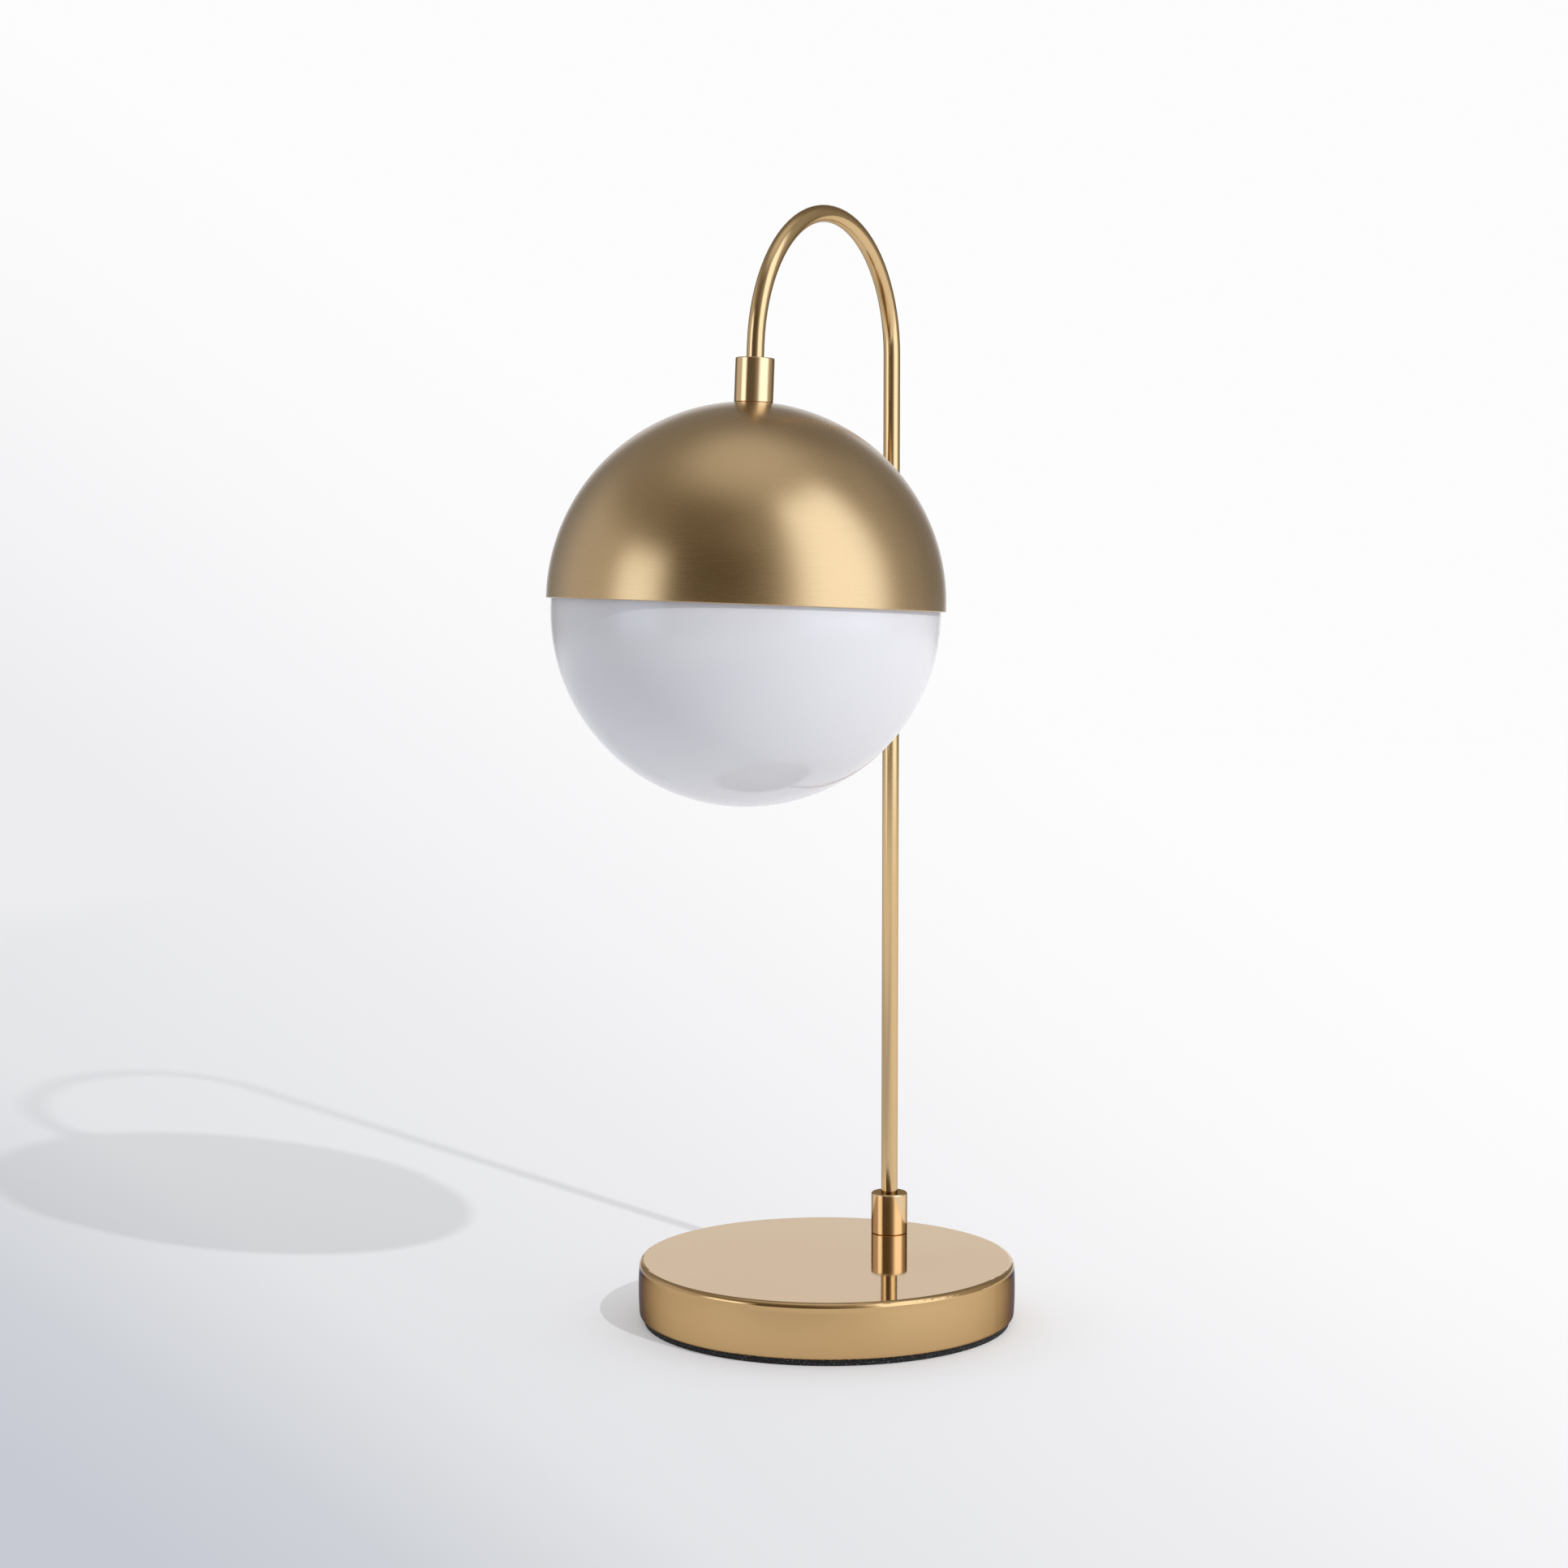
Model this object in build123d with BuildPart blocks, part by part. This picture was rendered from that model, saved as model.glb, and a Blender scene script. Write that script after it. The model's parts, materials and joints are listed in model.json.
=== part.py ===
from build123d import *
import os
from math import acos, cos, degrees, radians, sin, sqrt

# Glass globe table lamp: a weighted round foot, one arched tube and an opal globe under a half shade.
#
# Millimetres, +Z up. The origin is on the table, under the centre of the foot. The tube stands at the
# back of the foot (+Y) and arches forward, so that the globe hangs at the front (-Y).
#
# The head is everything on the tube's far end: collar, shade, globe, lamp holder and bulb. Its axis
# leans by what the arch stops short of a half turn. Heights in the head are measured along that axis
# from the centre of the shade's rim, and are positive towards the collar.

UP = (Align.CENTER, Align.CENTER, Align.MIN)
DOWN = (Align.CENTER, Align.CENTER, Align.MAX)

# ---------------------------------------------------------------- clearances
thread_gap = 0.05  # a screw thread in its nut, both modelled as plain cylinders, on the radius
slip_gap = 0.3  # parts that the user takes apart, and parts that are only dropped in place
cement_gap = 0.2  # the glass in its cemented ring
turning_gap = 0.1  # flat faces that turn on each other

# ---------------------------------------------------------------- foot
foot_radius = 90.0  # at the widest, halfway up the slightly crowned side
foot_crown = 0.5
foot_top = 29.5
foot_sheet = 1.0
foot_edge_round = 2.4
foot_curl = 1.6  # the round by which the bottom edge curls in
foot_lip = 0.3  # flat part of the curled edge
pad_thickness = 3.0
pad_inset = 2.6
bottom_sheet = 1.2
ballast_thickness = 14.0
ballast_side_gap = 1.3
ballast_chamfer = 2.5

# ---------------------------------------------------------------- tube and collars
stem_inset = 26.5  # from the foot's side to the tube's centre
tube_radius = 4.0
tube_wall = 0.8
arch_start = 458.85  # height where the straight stem ends
arch_radius = 65.35
arch_sweep = 175.7
arch_tail = 6.4  # straight length between the arch and the shade's collar
collar_radius = 8.8
collar_length = 20.2
collar_chamfer = 0.4
stem_collar_round = 0.9
shade_collar_round = 0.5
collar_thread_depth = 9.0
collar_tube_depth = 8.0

# ---------------------------------------------------------------- hollow threaded rods, nuts and washers
nipple_radius = 5.0
nipple_bore = 3.5
nipple_length = 24.5
nipple_chamfer = 0.5
nut_across_flats = 14.0
nut_thickness = 4.0
washer_radius = 9.0
washer_thickness = 1.0
spring_washer_radius = 8.0
spring_washer_slit = 1.4

# ---------------------------------------------------------------- shade and globe
shade_radius = 90.4
shade_sheet = 1.0
shade_lip = 1.3  # straight band below the half sphere
shade_rim_round = 0.35
shade_seat_radius = 9.5  # the flat that the collar stands on
vent_count = 6
vent_radius = 1.3
vent_ring_radius = 14.6
vent_start_angle = 30.0
glass_side_gap = 1.1  # the globe in the shade, if both had one centre
glass_wall = 3.0
glass_drop = 4.3  # centre of the globe below the centre of the shade
glass_mouth_radius = 38.0
glass_mouth_round = 1.2
neck_ring_wall = 3.2
neck_ring_height = 10.2
neck_flange_width = 3.2
neck_flange_thickness = 1.2
gasket_thickness = 1.0
carrier_sheet = 1.2
carrier_flange_width = 5.2
carrier_slope = 8.1  # how much narrower the cup is at its top
carrier_skirt_margin = 0.5  # how far the threaded skirt reaches below the ring

# ---------------------------------------------------------------- lamp holder and bulb
holder_radius = 19.0
holder_wall = 2.0
holder_cap_height = 20.0
holder_cap_round = 4.0
holder_boss_depth = 6.0
holder_skirt_length = 32.0
insert_thickness = 9.0
insert_ledge = 2.0
insert_in_cap = 4.0  # how much of the insert's thickness is inside the cap
screw_shell_bore = 13.3
screw_shell_sheet = 0.4
screw_shell_length = 23.0
contact_window = 6.5
leaf_width = 5.0
leaf_sheet = 0.5
leaf_drop = 2.0
leaf_foot = 4.5  # the flat length that is riveted to the insert
leaf_margin = 1.0  # from the leaf's ends to the edge of the shell's window
terminal_half_pitch = 9.0
terminal_offset = 5.5
terminal_head_radius = 2.8
terminal_head_height = 2.0
terminal_shank_radius = 1.6
terminal_shank_length = 5.0
screw_slot_width = 0.8
screw_slot_depth = 1.0
bulb_radius = 30.0
bulb_length = 110.0
bulb_glass = 1.0
bulb_cap_sheet = 0.8
bulb_cap_length = 27.0
bulb_pip_radius = 4.0
bulb_pip_height = 1.2
bulb_cone_height = 3.0
bulb_cone_radius = 7.0
bulb_neck_radius = 14.0
bulb_neck_in_cap = 5.0
bulb_neck_below_cap = 1.0
bulb_neck_curve = 20.0  # how far the neck's and the ball's curves pull at the flank between them
bulb_ball_curve = 30.0

# ---------------------------------------------------------------- wiring and cord inlet
core_radius = 1.0
core_half_pitch = 2.0
core_bend = 3.0
foot_core_bend = 4.5
block_core_bend = 9.0
core_rise = 5.0  # how far above the insert a core turns out to its terminal
core_fall = 2.0
inlet_height = 11.0
inlet_hole_radius = 5.5
inlet_bore = 3.3
inlet_flange_radius = 7.2
inlet_flange_thickness = 1.5
inlet_barrel_length = 4.6
inlet_bead_radius = 6.3
inlet_bead_width = 1.2
channel_width = 17.0
channel_depth = 6.0
nut_pocket_radius = 16.0
nut_pocket_depth = 8.0
block_width = 22.0
block_depth = 14.0
block_height = 9.0
block_to_stem = 35.5
block_half_pitch = 4.5
block_entry = 5.0
block_chamfer = 1.0
block_screw_radius = 1.5
block_screw_length = 2.5
block_screw_spacing = 7.0
block_slot_width = 0.6
block_slot_depth = 0.8

# ---------------------------------------------------------------- screws of the bottom plate
boss_count = 3
boss_inset = 28.0
boss_start_angle = 30.0
boss_radius = 6.0
plate_screw_radius = 2.0
plate_screw_length = 8.0
plate_screw_head_radius = 3.6
plate_screw_head_height = 2.2
pad_hole_radius = 5.0
recess_length = 4.2

# ================================================================ frames and stations
stem_y = foot_radius - stem_inset
foot_bottom = pad_thickness
foot_edge_radius = foot_radius - foot_crown
foot_inner_radius = foot_edge_radius - foot_sheet
foot_mouth_radius = foot_edge_radius - foot_curl - foot_lip
foot_middle = (foot_bottom + foot_top) / 2
foot_ceiling = foot_top - foot_sheet
plate_top = foot_bottom + bottom_sheet
ballast_bottom = foot_ceiling - ballast_thickness
ballast_radius = foot_inner_radius - ballast_side_gap
boss_ring_radius = foot_radius - boss_inset
nipple_hole = nipple_radius + thread_gap
tube_bore = tube_radius - tube_wall

arch_turn = radians(arch_sweep)
head_down = Vector(0, -sin(arch_turn), cos(arch_turn))
head_up = head_down * -1
arch_end_y = stem_y - arch_radius * (1 - cos(arch_turn))
arch_end_z = arch_start + arch_radius * sin(arch_turn)
arch_crown_y = stem_y - arch_radius * (1 - cos(arch_turn / 2))
arch_crown_z = arch_start + arch_radius * sin(arch_turn / 2)
arch_end = Vector(0, arch_end_y, arch_end_z)

shade_inner_radius = shade_radius - shade_sheet
seat_height = sqrt(shade_radius**2 - shade_seat_radius**2)
seat_underside = seat_height - shade_sheet
shade_centre = arch_end + head_down * (arch_tail + collar_length + seat_height)

head = Plane(origin=shade_centre, x_dir=(1, 0, 0), z_dir=head_up)
head_section = Plane(origin=shade_centre, x_dir=(1, 0, 0), z_dir=Vector(1, 0, 0).cross(head_up))
head_axis = Axis(shade_centre, head_up)
stem = Plane(origin=(0, stem_y, 0))
inlet = Plane(origin=(0, foot_radius, inlet_height), x_dir=(1, 0, 0), z_dir=(0, 1, 0))

# The cores in the foot, and the block where they meet the mains cord.
core_height = foot_top + collar_thread_depth - nipple_length - foot_core_bend
block_bottom = ballast_bottom - block_height
block_y = stem_y - block_to_stem
block_rear = block_y + block_depth / 2
block_entry_face = Plane(origin=(0, block_rear, core_height), x_dir=(1, 0, 0), z_dir=(0, 1, 0))

# The globe's fitting, from the glass outwards and upwards.
glass_radius = shade_inner_radius - glass_side_gap
mouth_height = sqrt(glass_radius**2 - glass_mouth_radius**2) - glass_drop
ring_outer_radius = glass_mouth_radius - cement_gap
ring_inner_radius = ring_outer_radius - neck_ring_wall
ring_flange_radius = ring_outer_radius + neck_flange_width
ring_flange_bottom = mouth_height + cement_gap
ring_top = ring_flange_bottom + neck_flange_thickness
ring_bottom = ring_top - neck_ring_height
gasket_bottom = ring_top + turning_gap
gasket_top = gasket_bottom + gasket_thickness
carrier_skirt_radius = ring_inner_radius - slip_gap
carrier_skirt_bottom = ring_bottom - carrier_skirt_margin
carrier_top = seat_underside - washer_thickness - nut_thickness
carrier_underside = carrier_top - carrier_sheet
carrier_top_radius = carrier_skirt_radius - carrier_sheet - carrier_slope

# The lamp holder, from the carrier down.
cap_top = carrier_underside
cap_bottom = cap_top - holder_cap_height
holder_bore = holder_radius - holder_wall
insert_radius = holder_bore - slip_gap
insert_top = cap_bottom + insert_in_cap
insert_bottom = insert_top - insert_thickness
skirt_bottom = cap_bottom - holder_skirt_length
shell_radius = screw_shell_bore + screw_shell_sheet
bulb_tip = insert_bottom - leaf_drop - slip_gap
bulb_cap_radius = screw_shell_bore - slip_gap
bulb_cap_bottom = bulb_tip - bulb_cap_length
bulb_centre = bulb_tip - bulb_length + bulb_radius


# ================================================================ pieces used more than once
def collar_on(seat, top_round):
    """A turned collar that stands on seat: the rod screws in from below, the tube is brazed in above."""
    with BuildPart(seat) as collar:
        Cylinder(collar_radius, collar_length, align=UP)
        rims = collar.edges().filter_by(GeomType.CIRCLE).sort_by(Axis(seat.origin, seat.z_dir))
        chamfer(rims[0], collar_chamfer)
        fillet(rims[-1], top_round)
        Cylinder(nipple_hole, collar_thread_depth, align=UP, mode=Mode.SUBTRACT)
        with Locations((0, 0, collar_length)):
            Cylinder(tube_radius + thread_gap, collar_tube_depth, align=DOWN, mode=Mode.SUBTRACT)
        Hole(nipple_bore)
    return collar


def nipple_below(top):
    """A hollow threaded rod that hangs down from top."""
    with BuildPart(top) as nipple:
        Cylinder(nipple_radius, nipple_length, align=DOWN)
        chamfer(nipple.edges().filter_by(GeomType.CIRCLE), nipple_chamfer)
        Hole(nipple_bore)
    return nipple


def nut_below(top):
    """A thin hexagon nut whose upper face is on top."""
    with BuildPart() as nut:
        with BuildSketch(top):
            RegularPolygon(nut_across_flats / 2, side_count=6, major_radius=False)
            Circle(nipple_hole, mode=Mode.SUBTRACT)
        extrude(amount=-nut_thickness)
    return nut


def washer_below(top):
    """A flat washer whose upper face is on top."""
    with BuildPart(top) as washer:
        Cylinder(washer_radius, washer_thickness, align=DOWN)
        Hole(nipple_hole)
    return washer


# ================================================================ foot
with BuildPart() as foot_cover:
    top_edge = (foot_edge_radius, foot_top)
    bottom_edge = (foot_edge_radius, foot_bottom)
    inner_top = (foot_inner_radius, foot_ceiling)
    inner_bottom = (foot_inner_radius, foot_bottom + foot_sheet)
    bulge = 2 * foot_crown
    with BuildSketch(Plane.XZ):
        with BuildLine():
            mouth_top = (foot_mouth_radius, foot_bottom + foot_sheet)
            Polyline(bottom_edge, (foot_mouth_radius, foot_bottom), mouth_top, inner_bottom)
            Bezier(inner_bottom, (foot_inner_radius + bulge, foot_middle), inner_top)
            Polyline(inner_top, (0, foot_ceiling), (0, foot_top), top_edge)
            Bezier(top_edge, (foot_edge_radius + bulge, foot_middle), bottom_edge)
        make_face()
        fillet(vertices().sort_by_distance(top_edge)[0], foot_edge_round)
        fillet(vertices().sort_by_distance(bottom_edge)[0], foot_curl)
        fillet(vertices().sort_by_distance(inner_top)[0], foot_edge_round - foot_sheet)
        fillet(vertices().sort_by_distance(inner_bottom)[0], foot_curl - foot_sheet)
    revolve(axis=Axis.Z)
    with Locations((0, stem_y, foot_top)):
        Hole(nipple_hole, depth=2 * foot_sheet)
    with Locations(inlet.offset(foot_sheet)):
        Hole(inlet_hole_radius, depth=4 * foot_sheet)

with BuildPart(Plane.XY.offset(ballast_bottom)) as ballast:
    Cylinder(ballast_radius, ballast_thickness, align=UP)
    chamfer(ballast.edges().group_by(Axis.Z)[-1], ballast_chamfer)
    with PolarLocations(boss_ring_radius, boss_count, boss_start_angle):
        Cylinder(boss_radius, ballast_bottom - plate_top, align=DOWN)
    with Locations((0, stem_y, 0)):
        Cylinder(nut_pocket_radius, nut_pocket_depth, align=UP, mode=Mode.SUBTRACT)
        Hole(nipple_hole)
        channel_align = (Align.CENTER, Align.MIN, Align.MIN)
        Box(channel_width, ballast_radius, channel_depth, align=channel_align, mode=Mode.SUBTRACT)
    with Locations((0, 0, plate_top - ballast_bottom)):
        with PolarLocations(boss_ring_radius, boss_count, boss_start_angle):
            screw_reach = plate_screw_length - bottom_sheet + slip_gap
            Cylinder(plate_screw_radius + thread_gap, screw_reach, align=UP, mode=Mode.SUBTRACT)

with BuildPart(Plane.XY.offset(foot_bottom)) as bottom_plate:
    Cylinder(foot_mouth_radius - slip_gap, bottom_sheet, align=UP)
    with PolarLocations(boss_ring_radius, boss_count, boss_start_angle):
        Hole(plate_screw_radius + slip_gap)

with BuildPart(Plane.XY.offset(foot_bottom)) as plate_screws:
    with PolarLocations(boss_ring_radius, boss_count, boss_start_angle):
        Cylinder(plate_screw_head_radius, plate_screw_head_height, align=DOWN)
        Cylinder(plate_screw_radius, plate_screw_length, align=UP)
    with Locations((0, 0, -plate_screw_head_height)):
        with PolarLocations(boss_ring_radius, boss_count, boss_start_angle):
            Box(recess_length, screw_slot_width, screw_slot_depth, align=UP, mode=Mode.SUBTRACT)
            Box(screw_slot_width, recess_length, screw_slot_depth, align=UP, mode=Mode.SUBTRACT)

with BuildPart() as foot_pad:
    Cylinder(foot_radius - pad_inset, pad_thickness, align=UP)
    with PolarLocations(boss_ring_radius, boss_count, boss_start_angle):
        Hole(pad_hole_radius)

# A snap-in bush lines the hole for the mains cord. Its bead holds behind the sheet of the cover.
with BuildPart(inlet) as inlet_bush:
    Cylinder(inlet_flange_radius, inlet_flange_thickness, align=UP)
    fillet(inlet_bush.edges().group_by(Axis.Y)[-1], inlet_flange_thickness / 2)
    Cylinder(inlet_hole_radius - slip_gap / 2, inlet_barrel_length, align=DOWN)
    with Locations((0, 0, -foot_sheet - foot_crown)):
        Cylinder(inlet_bead_radius, inlet_bead_width, align=DOWN)
    Hole(inlet_bore)

with BuildPart() as terminal_block:
    with Locations((0, block_y, ballast_bottom)):
        Box(block_width, block_depth, block_height, align=DOWN)
    chamfer(terminal_block.edges().filter_by(Axis.Z), block_chamfer)
    with Locations(block_entry_face):
        with GridLocations(2 * block_half_pitch, block_depth, 2, 1):
            Hole(core_radius + slip_gap, depth=block_entry)
    with Locations((0, block_y, block_bottom)):
        with GridLocations(2 * block_half_pitch, block_screw_spacing, 2, 2):
            Cylinder(block_screw_radius + thread_gap, block_screw_length, align=UP, mode=Mode.SUBTRACT)

with BuildPart(Plane.XY.offset(block_bottom)) as block_screws:
    with Locations((0, block_y, 0)):
        with GridLocations(2 * block_half_pitch, block_screw_spacing, 2, 2):
            Cylinder(block_screw_radius, block_screw_length, align=UP)
    with Locations((0, block_y, 0)):
        with GridLocations(2 * block_half_pitch, block_screw_spacing, 2, 2):
            slot_length = 2 * block_screw_radius
            Box(slot_length, block_slot_width, block_slot_depth, align=UP, mode=Mode.SUBTRACT)

# ================================================================ tube, collars and their fixings
stem_collar = collar_on(stem.offset(foot_top), stem_collar_round)
stem_nipple = nipple_below(stem.offset(foot_top + collar_thread_depth))
pocket_ceiling = ballast_bottom + nut_pocket_depth
foot_washer = washer_below(stem.offset(pocket_ceiling))

with BuildPart(stem.offset(pocket_ceiling - washer_thickness)) as spring_washer:
    Cylinder(spring_washer_radius, washer_thickness, align=DOWN)
    Hole(nipple_hole)
    with Locations((spring_washer_radius, 0, 0)):
        Box(spring_washer_radius, spring_washer_slit, 2 * washer_thickness, mode=Mode.SUBTRACT)

foot_nut = nut_below(stem.offset(pocket_ceiling - 2 * washer_thickness))

tube_foot = foot_top + collar_length - collar_tube_depth
tube_tip = arch_end + head_down * (arch_tail + collar_tube_depth)
with BuildPart() as arched_tube:
    with BuildLine() as tube_route:
        Line((0, stem_y, tube_foot), (0, stem_y, arch_start))
        ThreePointArc((0, stem_y, arch_start), (0, arch_crown_y, arch_crown_z), arch_end)
        Line(arch_end, tube_tip)
    with BuildSketch(Plane(origin=(0, stem_y, tube_foot))):
        Circle(tube_radius)
        Circle(tube_bore, mode=Mode.SUBTRACT)
    sweep()

shade_collar = collar_on(head.offset(seat_height), shade_collar_round)
shade_nipple = nipple_below(head.offset(seat_height + collar_thread_depth))
shade_washer = washer_below(head.offset(seat_underside))
shade_nut = nut_below(head.offset(seat_underside - washer_thickness))

# ================================================================ shade and globe
with BuildPart(head) as shade:
    with BuildSketch(head_section):
        with BuildLine():
            inner_seat_radius = sqrt(shade_inner_radius**2 - seat_underside**2)
            outer_angle = degrees(acos(shade_seat_radius / shade_radius))
            inner_angle = degrees(acos(inner_seat_radius / shade_inner_radius))
            outer = CenterArc((0, 0), shade_radius, 0, outer_angle)
            inner = CenterArc((0, 0), shade_inner_radius, 0, inner_angle)
            Polyline(outer @ 1, (nipple_hole, seat_height), (nipple_hole, seat_underside), inner @ 1)
            lip_inside = (shade_inner_radius, -shade_lip)
            lip_outside = (shade_radius, -shade_lip)
            Polyline(inner @ 0, lip_inside, lip_outside, outer @ 0)
        make_face()
    revolve(axis=head_axis)
    fillet(shade.edges().group_by(head_axis)[0], shade_rim_round)
    with PolarLocations(vent_ring_radius, vent_count, vent_start_angle):
        Hole(vent_radius)

with BuildPart() as glass_globe:
    with BuildSketch(head_section):
        with BuildLine():
            glass_inner_radius = glass_radius - glass_wall
            outer_angle = degrees(acos(glass_mouth_radius / glass_radius))
            inner_angle = degrees(acos(glass_mouth_radius / glass_inner_radius))
            outer = CenterArc((0, -glass_drop), glass_radius, -90, 90 + outer_angle)
            inner = CenterArc((0, -glass_drop), glass_inner_radius, -90, 90 + inner_angle)
            Line(outer @ 1, inner @ 1)
            Line(outer @ 0, inner @ 0)
        make_face()
    revolve(axis=head_axis)
    lip = glass_globe.edges().filter_by(GeomType.CIRCLE).group_by(SortBy.RADIUS)[0]
    fillet(lip, glass_mouth_round)

with BuildPart() as neck_ring:
    with BuildSketch(head_section):
        with BuildLine():
            Polyline(
                (ring_inner_radius, ring_bottom),
                (ring_outer_radius, ring_bottom),
                (ring_outer_radius, ring_flange_bottom),
                (ring_flange_radius, ring_flange_bottom),
                (ring_flange_radius, ring_top),
                (ring_inner_radius, ring_top),
                close=True,
            )
        make_face()
    revolve(axis=head_axis)

with BuildPart(head.offset(gasket_bottom)) as globe_gasket:
    Cylinder(ring_flange_radius - cement_gap, gasket_thickness, align=UP)
    Hole(ring_inner_radius)

# The carrier is a spun cup with a threaded skirt. The globe screws up against its flange.
with BuildPart() as globe_carrier:
    with BuildSketch(head_section):
        with BuildLine():
            skirt_inner = carrier_skirt_radius - carrier_sheet
            flange_top = gasket_top + carrier_sheet
            Polyline(
                (nipple_hole, carrier_underside),
                (carrier_top_radius, carrier_underside),
                (skirt_inner, flange_top),
                (skirt_inner, carrier_skirt_bottom),
                (carrier_skirt_radius, carrier_skirt_bottom),
                (carrier_skirt_radius, gasket_top),
                (carrier_skirt_radius + carrier_flange_width, gasket_top),
                (carrier_skirt_radius + carrier_flange_width, flange_top),
                (carrier_skirt_radius, flange_top),
                (carrier_top_radius + carrier_sheet / 2, carrier_top),
                (nipple_hole, carrier_top),
                close=True,
            )
        make_face()
    revolve(axis=head_axis)

# ================================================================ lamp holder
with BuildPart() as holder_cap:
    with BuildSketch(head_section):
        with BuildLine():
            cavity_radius = holder_bore - insert_ledge
            cavity_top = cap_top - holder_boss_depth
            Polyline(
                (nipple_hole, cap_top),
                (holder_radius, cap_top),
                (holder_radius, cap_bottom),
                (holder_bore, cap_bottom),
                (holder_bore, insert_top),
                (cavity_radius, insert_top),
                (cavity_radius, cavity_top),
                (nipple_hole, cavity_top),
                close=True,
            )
        make_face()
    revolve(axis=head_axis)
    fillet(holder_cap.edges().group_by(head_axis)[-1].sort_by(SortBy.RADIUS)[-1], holder_cap_round)

with BuildPart() as holder_skirt:
    with BuildSketch(head_section):
        with BuildLine():
            mouth_radius = holder_bore - insert_ledge
            Polyline(
                (mouth_radius, skirt_bottom),
                (holder_radius, skirt_bottom),
                (holder_radius, cap_bottom),
                (holder_bore, cap_bottom),
                (holder_bore, insert_bottom),
                (mouth_radius, insert_bottom),
                close=True,
            )
        make_face()
    revolve(axis=head_axis)
    fillet(holder_skirt.edges().group_by(head_axis)[0].sort_by(SortBy.RADIUS)[-1], holder_wall / 2)

with BuildPart(head.offset(insert_bottom)) as holder_insert:
    Cylinder(insert_radius, insert_thickness, align=UP)
    with Locations((0, 0, insert_thickness)):
        for side in (-1, 1):
            with Locations((side * terminal_half_pitch, side * terminal_offset, 0)):
                Hole(terminal_shank_radius + thread_gap, depth=terminal_shank_length + slip_gap)

with BuildPart() as screw_shell:
    with BuildSketch(head_section):
        with BuildLine():
            shell_bottom = insert_bottom - screw_shell_length
            shell_ceiling = insert_bottom - screw_shell_sheet
            Polyline(
                (contact_window, insert_bottom),
                (shell_radius, insert_bottom),
                (shell_radius, shell_bottom),
                (screw_shell_bore, shell_bottom),
                (screw_shell_bore, shell_ceiling),
                (contact_window, shell_ceiling),
                close=True,
            )
        make_face()
    revolve(axis=head_axis)

# The centre contact is a leaf spring: flat on the insert, then bent down to the bulb's pip.
with BuildPart() as centre_contact:
    with BuildSketch(head_section):
        with BuildLine():
            leaf_end = contact_window - leaf_margin
            leaf_bend = leaf_foot - leaf_end
            leaf_low = insert_bottom - leaf_drop
            Polyline(
                (-leaf_end, insert_bottom),
                (leaf_bend, insert_bottom),
                (bulb_pip_radius / 2, leaf_low + leaf_sheet),
                (leaf_end, leaf_low + 2 * leaf_sheet),
                (leaf_end, leaf_low + leaf_sheet),
                (bulb_pip_radius / 2, leaf_low),
                (leaf_bend - leaf_sheet / 2, insert_bottom - leaf_sheet),
                (-leaf_end, insert_bottom - leaf_sheet),
                close=True,
            )
        make_face()
    extrude(amount=leaf_width / 2, both=True)

with BuildPart(head.offset(insert_top)) as terminal_screws:
    for side in (-1, 1):
        with Locations((side * terminal_half_pitch, side * terminal_offset, 0)):
            Cylinder(terminal_head_radius, terminal_head_height, align=UP)
            Cylinder(terminal_shank_radius, terminal_shank_length, align=DOWN)
        with Locations((side * terminal_half_pitch, side * terminal_offset, terminal_head_height)):
            slot_length = 2 * terminal_head_radius
            Box(slot_length, screw_slot_width, screw_slot_depth, align=DOWN, mode=Mode.SUBTRACT)

# ================================================================ bulb
with BuildPart() as bulb_cap:
    with BuildSketch(head_section):
        with BuildLine():
            pip_bottom = bulb_tip - bulb_pip_height
            cone_bottom = pip_bottom - bulb_cone_height
            Polyline(
                (0, bulb_tip),
                (bulb_pip_radius, bulb_tip),
                (bulb_cone_radius, pip_bottom),
                (bulb_cap_radius, cone_bottom),
                (bulb_cap_radius, bulb_cap_bottom),
                (bulb_cap_radius - bulb_cap_sheet, bulb_cap_bottom),
                (bulb_cap_radius - bulb_cap_sheet, cone_bottom),
                (0, cone_bottom),
                close=True,
            )
        make_face()
    revolve(axis=head_axis)

with BuildPart() as bulb_envelope:
    with BuildSketch(head_section):
        with BuildLine():
            neck_outer = bulb_cap_radius - bulb_cap_sheet - thread_gap
            neck_top = bulb_cap_bottom + bulb_neck_in_cap
            shoulder = bulb_cap_bottom - bulb_neck_below_cap
            # Outer and inner lines of the blown glass, both drawn from the neck to the tip.
            for inset in (0, bulb_glass):
                neck = Line((neck_outer - inset, neck_top), (neck_outer - inset, shoulder))
                flank = Bezier(
                    neck @ 1,
                    (bulb_neck_radius - inset, shoulder - bulb_neck_curve),
                    (bulb_radius - inset, bulb_centre + bulb_ball_curve),
                    (bulb_radius - inset, bulb_centre),
                )
                CenterArc((0, bulb_centre), bulb_radius - inset, 0, -90)
            Line((neck_outer, neck_top), (neck_outer - bulb_glass, neck_top))
            Line((0, bulb_centre - bulb_radius), (0, bulb_centre - bulb_radius + bulb_glass))
        make_face()
    revolve(axis=head_axis)

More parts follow.
